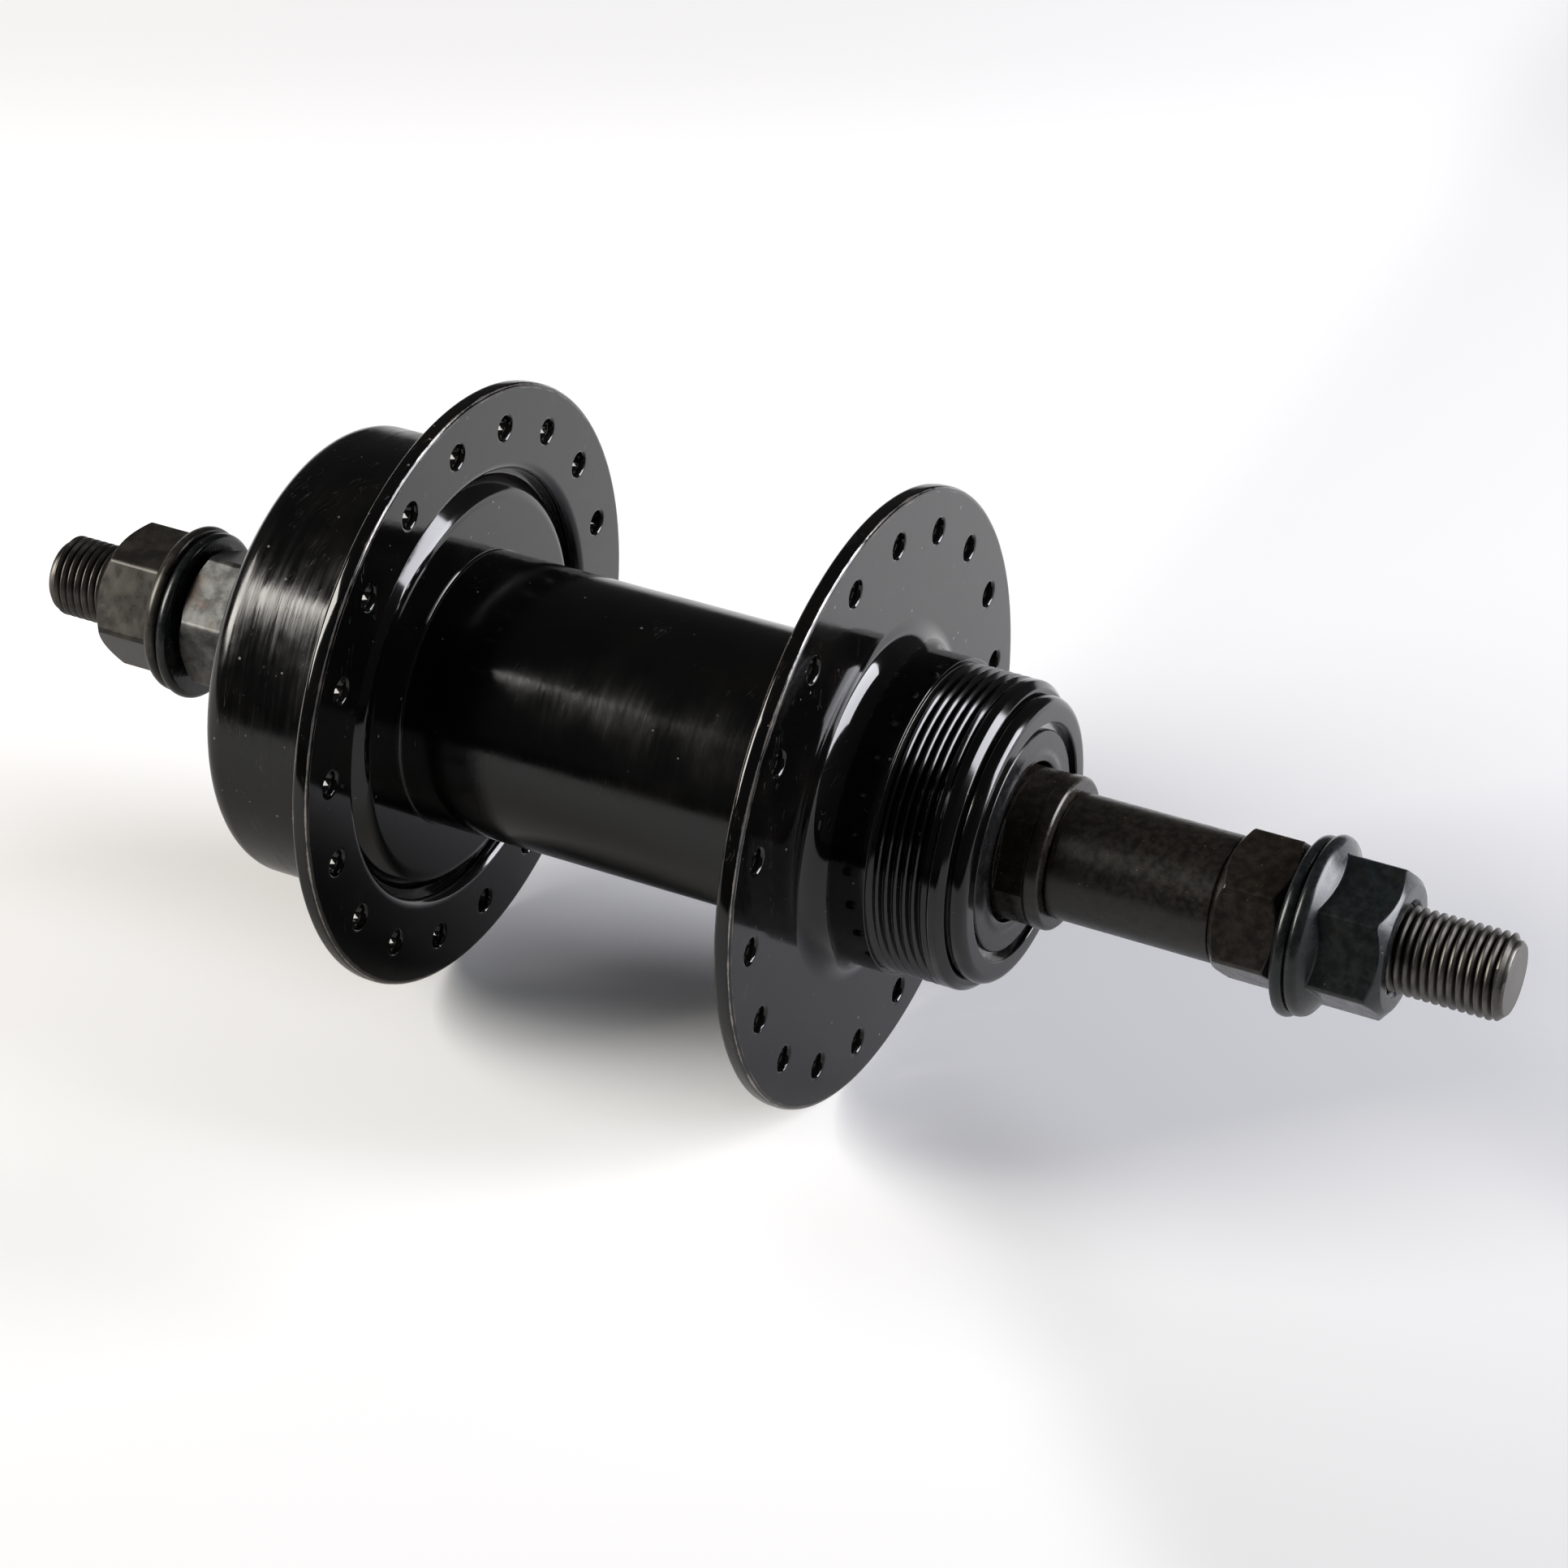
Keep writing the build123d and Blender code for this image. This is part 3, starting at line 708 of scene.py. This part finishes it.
# Threaded socket for the freewheel: thread, plain collar, groove and rounded lip
socket = {"threadRadius": 17.4, "pitch": 1.058, "threadStart": 7.0, "threadEnd": 14.2,
          "collarEnd": 15.8, "collarChamfer": 0.8, "grooveRadius": 15.75, "grooveEnd": 16.2,
          "lipRadius": 16.1, "face": 17.8, "lipRounding": 1.1, "seat": 13.375, "seatStart": 6.825,
          "spigotBore": 12.0, "spigotRadius": 14.0, "spigotStart": -1.0, "runIn": 1.6, "runOut": 0.9,
          "collarRounding": 0.25, "chamferRounding": 0.2, "grooveRounding": 0.12,
          "mouthRounding": 0.2}


def makeSocket():
    size = socket
    bm = threadSleeve(size["threadRadius"], size["pitch"], size["threadStart"], size["threadEnd"],
                      size["runIn"], size["runOut"], size["seat"])
    addShape(bm, spunShape([
        (size["seat"], size["threadEnd"]), (size["threadRadius"], size["threadEnd"]),
        (size["threadRadius"], size["collarEnd"] - size["collarChamfer"], size["collarRounding"]),
        (size["threadRadius"] - size["collarChamfer"], size["collarEnd"], size["chamferRounding"]),
        (size["grooveRadius"], size["collarEnd"]), (size["grooveRadius"], size["grooveEnd"]),
        (size["lipRadius"], size["grooveEnd"], size["grooveRounding"]),
        (size["lipRadius"], size["face"], size["lipRounding"]),
        (size["seat"], size["face"], size["mouthRounding"])]))
    addShape(bm, spunShape([
        (size["spigotBore"], size["spigotStart"]), (size["spigotRadius"], size["spigotStart"]),
        (size["spigotRadius"], size["threadStart"]), (size["seat"], size["threadStart"]),
        (size["seat"], size["seatStart"]), (size["spigotBore"], size["seatStart"])]))
    finishPiece("freewheelSocket", bm, "drive", "hub_shell", ["freewheel_socket"], socketEnamel,
                sharp=thread["sharp"])


# Bearing cones, with milled wrench flats
cone = {"radius": 8.5, "collarRadius": 8.6, "collarLength": 1.9, "flatWidth": 15.0, "noseRadius": 5.775,
        "noseLength": 3.0, "noseRounding": 0.2, "bore": 4.81, "ballCircle": 9.0, "race": 3.225,
        "raceSteps": [(0.5, 1.75), (1.5, 2.75)], "flatStart": 5.7, "collarRise": 0.3,
        "collarRounding": 0.1, "endRounding": 0.55, "millReach": 1, "millWidth": 30, "millDepth": 6,
        "softEdge": 0.25}


def makeCone(name, node, side, centre, outerLength, turn, collar):
    size = cone
    end = centre + outerLength
    flatEnd = end - size["collarLength"] if collar else end + size["millReach"]
    outline = [(size["bore"], centre - size["noseLength"]),
               (size["noseRadius"], centre - size["noseLength"], size["noseRounding"]),
               (size["noseRadius"], centre)]
    raceEnd = centre + sqrt(size["race"] ** 2 - (size["ballCircle"] - size["radius"]) ** 2)
    outline += [(size["noseRadius"] + rise, centre + along) for rise, along in size["raceSteps"]]
    outline += [(size["radius"], raceEnd)]
    outer = size["radius"]
    if collar:
        outer = size["collarRadius"]
        outline += [(size["radius"], flatEnd)]
        outline += [(outer, flatEnd + size["collarRise"], size["collarRounding"])]
    outline += [(outer, end, size["endRounding"]), (size["bore"], end)]
    bm = spunShape(outline)
    flatStart = centre + size["flatStart"]
    for way in (-1, 1):
        block = bmesh.new()
        bmesh.ops.create_cube(block, size=1)
        bmesh.ops.scale(block, vec=(size["millWidth"], flatEnd - flatStart, size["millDepth"]),
                        verts=block.verts)
        outward = way * (size["flatWidth"] / 2 + size["millDepth"] / 2)
        bmesh.ops.translate(block, verts=block.verts, vec=(0, (flatStart + flatEnd) / 2, outward))
        bmesh.ops.rotate(block, verts=block.verts, cent=(0, 0, 0),
                         matrix=Matrix.Rotation(radians(turn), 3, "Y"))
        bm = carve(bm, block, "DIFFERENCE")
    finishPiece(name, bm, side, "axle_set", [node], brownOxide,
                softEdge=size["softEdge"])


# Dust cap, dished a little towards its bore
cap = {"bore": 9.0, "radius": 12.475, "thickness": 0.8, "skirtRadius": 12.225, "skirtLength": 1.0,
       "skirtWall": 0.8, "dish": 0.16, "boreRounding": 0.2, "lipWidth": 0.8, "lipRounding": 0.1,
       "slopeWidth": 1.3, "dishRounding": 0.3}


def makeCap(name, node, side):
    size = cap
    face = extentOf(node, side)[2]
    seat = face - size["thickness"]
    bm = spunShape([
        (size["bore"], seat), (size["bore"], face, size["boreRounding"]),
        (size["bore"] + size["lipWidth"], face, size["lipRounding"]),
        (size["bore"] + size["slopeWidth"], face - size["dish"], size["dishRounding"]),
        (size["radius"], face - size["dish"], size["dishRounding"]), (size["radius"], seat),
        (size["skirtRadius"], seat), (size["skirtRadius"], seat - size["skirtLength"]),
        (size["skirtRadius"] - size["skirtWall"], seat - size["skirtLength"]),
        (size["skirtRadius"] - size["skirtWall"], seat)])
    finishPiece(name, bm, side, "hub_shell", [node], capZinc)


spacer = {"bore": 4.96, "innerRounding": 0.35, "outerRounding": 0.25}


def makeSpacer():
    size = spacer
    radius, start, end = extentOf("drive_spacer", "drive")
    bm = spunShape([(size["bore"], start), (radius, start, size["innerRounding"]),
                    (radius, end, size["outerRounding"]), (size["bore"], end)])
    finishPiece("spacerTube", bm, "drive", "axle_set", ["drive_spacer"], spacerOxide)


def makeLocknut(name, node, side, turn, material):
    start, end = extentOf(node, side)[1:]
    bm = hexagonShape(start, end, turn)
    bm = carve(bm, boreTool(start, end), "DIFFERENCE")
    finishPiece(name, bm, side, "axle_set", [node], material, softEdge=bored["softEdge"])


washer = {"bore": 5.3, "radius": 9.9, "rounding": 0.7, "hang": 0.5}


def makeWasher(name, node, side, body):
    size = washer
    start, end = extentOf(node, side)[1:]
    bm = spunShape([(size["bore"], start), (size["radius"], start, size["rounding"]),
                    (size["radius"], end, size["rounding"]), (size["bore"], end)])
    bmesh.ops.translate(bm, verts=bm.verts, vec=(0, 0, -size["hang"]))
    finishPiece(name, bm, side, body, [node], blackOxide)


axleNut = {"flangeRadius": 9.9, "flangeEdge": 1.3, "flangeRise": 1.7, "edgeRounding": 0.55,
           "coneInset": 0.4, "hexagonStart": 0.3}


def makeAxleNut(name, node, side, body, turn, material):
    size = axleNut
    start, end = extentOf(node, side)[1:]
    edgeEnd = start + size["flangeEdge"]
    flange = spunShape([
        (0, start), (size["flangeRadius"], start, size["edgeRounding"]),
        (size["flangeRadius"], edgeEnd, size["edgeRounding"]),
        (hexagon["width"] / 2 - size["coneInset"], edgeEnd + size["flangeRise"]),
        (0, edgeEnd + size["flangeRise"])], closed=False)
    bm = carve(flange, hexagonShape(start + size["hexagonStart"], end, turn), "UNION")
    bm = carve(bm, boreTool(start, end), "DIFFERENCE")
    finishPiece(name, bm, side, body, [node], material, softEdge=bored["softEdge"])


# Axle: a thread at each end with a plain shank between
axle = {"radius": 4.76, "pitch": 0.977, "length": 180.0, "threadLength": 38.0, "tip": 0.9}


def makeAxle():
    size = axle
    half = size["length"] / 2
    start = half - size["threadLength"]
    bm = bmesh.new()
    for way in (0, pi):
        end = threadSleeve(size["radius"], size["pitch"], start, half, runIn=0, runOut=0, bore=0)
        for vert in end.verts:                              # chamfer at the tip
            limit = size["radius"] - max(0.0, vert.co.y - half + size["tip"])
            if hypot(vert.co.x, vert.co.z) > limit:
                setRadius(vert, limit)
        bmesh.ops.rotate(end, verts=end.verts, cent=(0, 0, 0), matrix=Matrix.Rotation(way, 3, "Z"))
        addShape(bm, end)
    shank = size["radius"] - thread["depthShare"] * size["pitch"] / 2
    addShape(bm, spunShape([(0, -start), (shank, -start), (shank, start), (0, start)], closed=False,
                           steps=boreSteps))
    finishPiece("threadedAxle", bm, "middle", "axle_set", ["axle"], axleSteel,
                sharp=thread["sharp"])


# degrees about the axle that each hexagon is turned, as the photograph shows it
nutTurns = {"driveLocknut": -15.6, "drumLocknut": -7.6, "driveAxleNut": -15.7, "drumAxleNut": 27.2}

makeDriveFlange()
makeDrumFlange()
makeBrakeDrum()
makeShellEnd()
makeBarrel()
makeSocket()
print("shell modelled")
makeCone("driveCone", "drive_cone", "drive", centre=12.0, outerLength=10.9, turn=68.0, collar=True)
makeCone("drumCone", "drum_cone", "drum", centre=11.85, outerLength=13.25, turn=0.0, collar=False)
makeCap("driveCap", "drive_dust_cap", "drive")
makeCap("drumCap", "drum_dust_cap", "drum")
makeSpacer()
makeLocknut("driveLocknut", "drive_locknut", "drive", nutTurns["driveLocknut"], brownOxide)
makeLocknut("drumLocknut", "drum_locknut", "drum", nutTurns["drumLocknut"], wornOxide)
makeWasher("driveWasher", "drive_washer", "drive", "drive_washer_body")
makeWasher("drumWasher", "drum_washer", "drum", "drum_washer_body")
makeAxleNut("driveAxleNut", "drive_axle_nut", "drive", "drive_nut_body",
            nutTurns["driveAxleNut"], blackOxide)
makeAxleNut("drumAxleNut", "drum_axle_nut", "drum", "drum_nut_body", nutTurns["drumAxleNut"],
            dullOxide)
makeAxle()
print("axle, nuts and washers modelled")

# The bearings keep their CAD shapes
for side in ("drive", "drum"):
    for part, material in (("bearing_cup", groundSteel), ("balls", ballSteel), ("ball_cage", cageSteel)):
        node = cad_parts[f"{side}_{part}"]
        node.data.materials.clear()
        node.data.materials.append(material)

# Table top, with painted shade in slightly greyer near and far bands
floorSet = {"height": -flangeRadius * mm, "size": 6.0, "away": (0.891, 0.4536, 0),
            "nearShadeBand": (-0.12, 0.02, 0.8, 1.0), "farShadeBand": (0.2, 0.27, 1.0, 0.9),
            "leftLiftBand": (-0.035, 0.005), "alongLiftBand": (-0.02, 0.03), "paintedLiftColour": (0.76, 0.94),
            "mirrorShadeBand": (0.0, 0.08), "colour": (0.54, 0.88), "rough": 0.9, "gloss": 0.1,
            "paintedGlowStart": (0.005, -0.025), "paintedGlowEnd": (-0.075, -0.045),
            "paintedGlowAlong": (-0.045, 0.005), "paintedGlowStrength": 0.2, "paintedGlowColour": (0.93, 0.95, 1.0, 1),
            "nearEdge": (-0.17, -0.2), "room": (0.02, 0.02, 0.02, 1)}


def makeFloor():
    bm = bmesh.new()
    bmesh.ops.create_grid(bm, x_segments=1, y_segments=1, size=floorSet["size"] / 2)
    mesh = bpy.data.meshes.new("floor")
    bm.to_mesh(mesh)
    bm.free()
    floor = bpy.data.objects.new("floor", mesh)
    floor.location.z = floorSet["height"]
    bpy.context.scene.collection.objects.link(floor)
    material, tree, shader = startMaterial("whiteTable")
    spot = wire(tree, "ShaderNodeTexCoord").outputs["Object"]
    depth = wire(tree, "ShaderNodeVectorMath", {0: spot, 1: floorSet["away"]},
                 operation="DOT_PRODUCT").outputs["Value"]
    # painted shade: the camera sees the table greyer in a band near the camera and in a band far off
    near = ramp(tree, depth, *floorSet["nearShadeBand"])
    far = ramp(tree, depth, *floorSet["farShadeBand"])
    rays = wire(tree, "ShaderNodeLightPath").outputs
    across, along = wire(tree, "ShaderNodeSeparateXYZ", {0: spot}).outputs[:2]
    # painted light: the camera sees the table lightened towards the left and towards the drum's side,
    # which lifts its shade there
    leftward = ramp(tree, calc(tree, "SUBTRACT", along, across), *floorSet["leftLiftBand"])
    pale = calc(tree, "MAXIMUM", ramp(tree, along, *floorSet["alongLiftBand"]), leftward)
    seen = ramp(tree, pale, 0.0, 1.0, *floorSet["paintedLiftColour"])
    seen = calc(tree, "MULTIPLY", calc(tree, "MULTIPLY", near, far), seen)
    # painted shade: reflections see the table darker on the camera's side of the hub, where the hub's
    # shadow lies
    mirroredShade = ramp(tree, across, *floorSet["mirrorShadeBand"], *floorSet["colour"])
    shade = wire(tree, "ShaderNodeMix", {0: rays["Is Camera Ray"], 2: mirroredShade, 3: seen}).outputs[0]
    colour = wire(tree, "ShaderNodeCombineColor", {0: shade, 1: shade, 2: shade}).outputs[0]
    tree.links.new(colour, shader.inputs["Base Color"])
    shader.inputs["Roughness"].default_value = floorSet["rough"]
    shader.inputs["Specular IOR Level"].default_value = floorSet["gloss"]
    # painted light: a faint glow that only the camera sees lifts the table's wide soft shadow before the
    # drum
    patch = calc(tree, "MULTIPLY", ramp(tree, across, *floorSet["paintedGlowStart"]),
                 ramp(tree, across, *floorSet["paintedGlowEnd"]))
    patch = calc(tree, "MULTIPLY", patch, ramp(tree, along, *floorSet["paintedGlowAlong"]))
    patch = calc(tree, "MULTIPLY", patch, rays["Is Camera Ray"])
    patch = calc(tree, "MULTIPLY", patch, floorSet["paintedGlowStrength"])
    shader.inputs["Emission Color"].default_value = floorSet["paintedGlowColour"]
    tree.links.new(patch, shader.inputs["Emission Strength"])
    # a reflection shows the table only as far as its near edge
    past = ramp(tree, across, *floorSet["nearEdge"])
    hide = calc(tree, "MULTIPLY", past, rays["Is Glossy Ray"])
    dark = wire(tree, "ShaderNodeEmission", {"Color": floorSet["room"], "Strength": 1.0}).outputs[0]
    joined = wire(tree, "ShaderNodeMixShader", {0: hide, 1: shader.outputs[0], 2: dark}).outputs[0]
    tree.links.new(joined, tree.nodes["Material Output"].inputs["Surface"])
    floor.data.materials.append(material)


# lamps that face the hub, each rolled about the line to it
lamps = {
    "warmSoftbox": {"place": (-0.48, 0.72, 0.495), "roll": 4, "width": 0.45, "height": 0.55,
                    "power": 12.4, "colour": (1.0, 0.965, 0.9)},
    "coolSoftbox": {"place": (0.41, -0.86, 0.37), "roll": 0, "width": 0.66, "height": 0.68,
                    "power": 21.0, "colour": (0.93, 0.935, 1.0)},
}
worldColours = {"cast": (0.05, 0.05, 0.052, 1), "seen": (1, 1, 1, 1)}


def makeLamp(name, given):
    light = bpy.data.lights.new(name, "AREA")
    light.shape = "RECTANGLE"
    light.size = given["width"]
    light.size_y = given["height"]
    light.energy = given["power"]
    light.color = given["colour"]
    lamp = bpy.data.objects.new(name, light)
    lamp.location = given["place"]
    lamp.rotation_mode = "QUATERNION"
    facing = (-Vector(given["place"])).to_track_quat("-Z", "Y")
    lamp.rotation_quaternion = facing @ Quaternion((0, 0, 1), radians(given["roll"]))
    bpy.context.scene.collection.objects.link(lamp)


def makeLight():
    for name, given in lamps.items():
        makeLamp(name, given)
    world = bpy.data.worlds.new("studio")
    world.use_nodes = True
    bpy.context.scene.world = world
    tree = world.node_tree
    rays = wire(tree, "ShaderNodeLightPath").outputs
    colour = mixColour(tree, rays["Is Camera Ray"], worldColours["cast"], worldColours["seen"])
    tree.links.new(colour, tree.nodes["Background"].inputs["Color"])


cameraSet = {"place": (-0.3722, -0.1946, 0.2768), "look": (0.7418, 0.3776, -0.5542),
             "lens": 104.14, "sensor": 36, "nearest": 0.01}


def makeCamera():
    data = bpy.data.cameras.new("camera")
    data.lens = cameraSet["lens"]
    data.sensor_width = cameraSet["sensor"]
    data.clip_start = cameraSet["nearest"]
    camera = bpy.data.objects.new("camera", data)
    camera.location = cameraSet["place"]
    camera.rotation_mode = "QUATERNION"
    camera.rotation_quaternion = Vector(cameraSet["look"]).to_track_quat("-Z", "Y")
    bpy.context.scene.collection.objects.link(camera)
    bpy.context.scene.camera = camera


makeFloor()
makeLight()
makeCamera()
bpy.context.scene.view_settings.view_transform = "Standard"
print("studio ready")
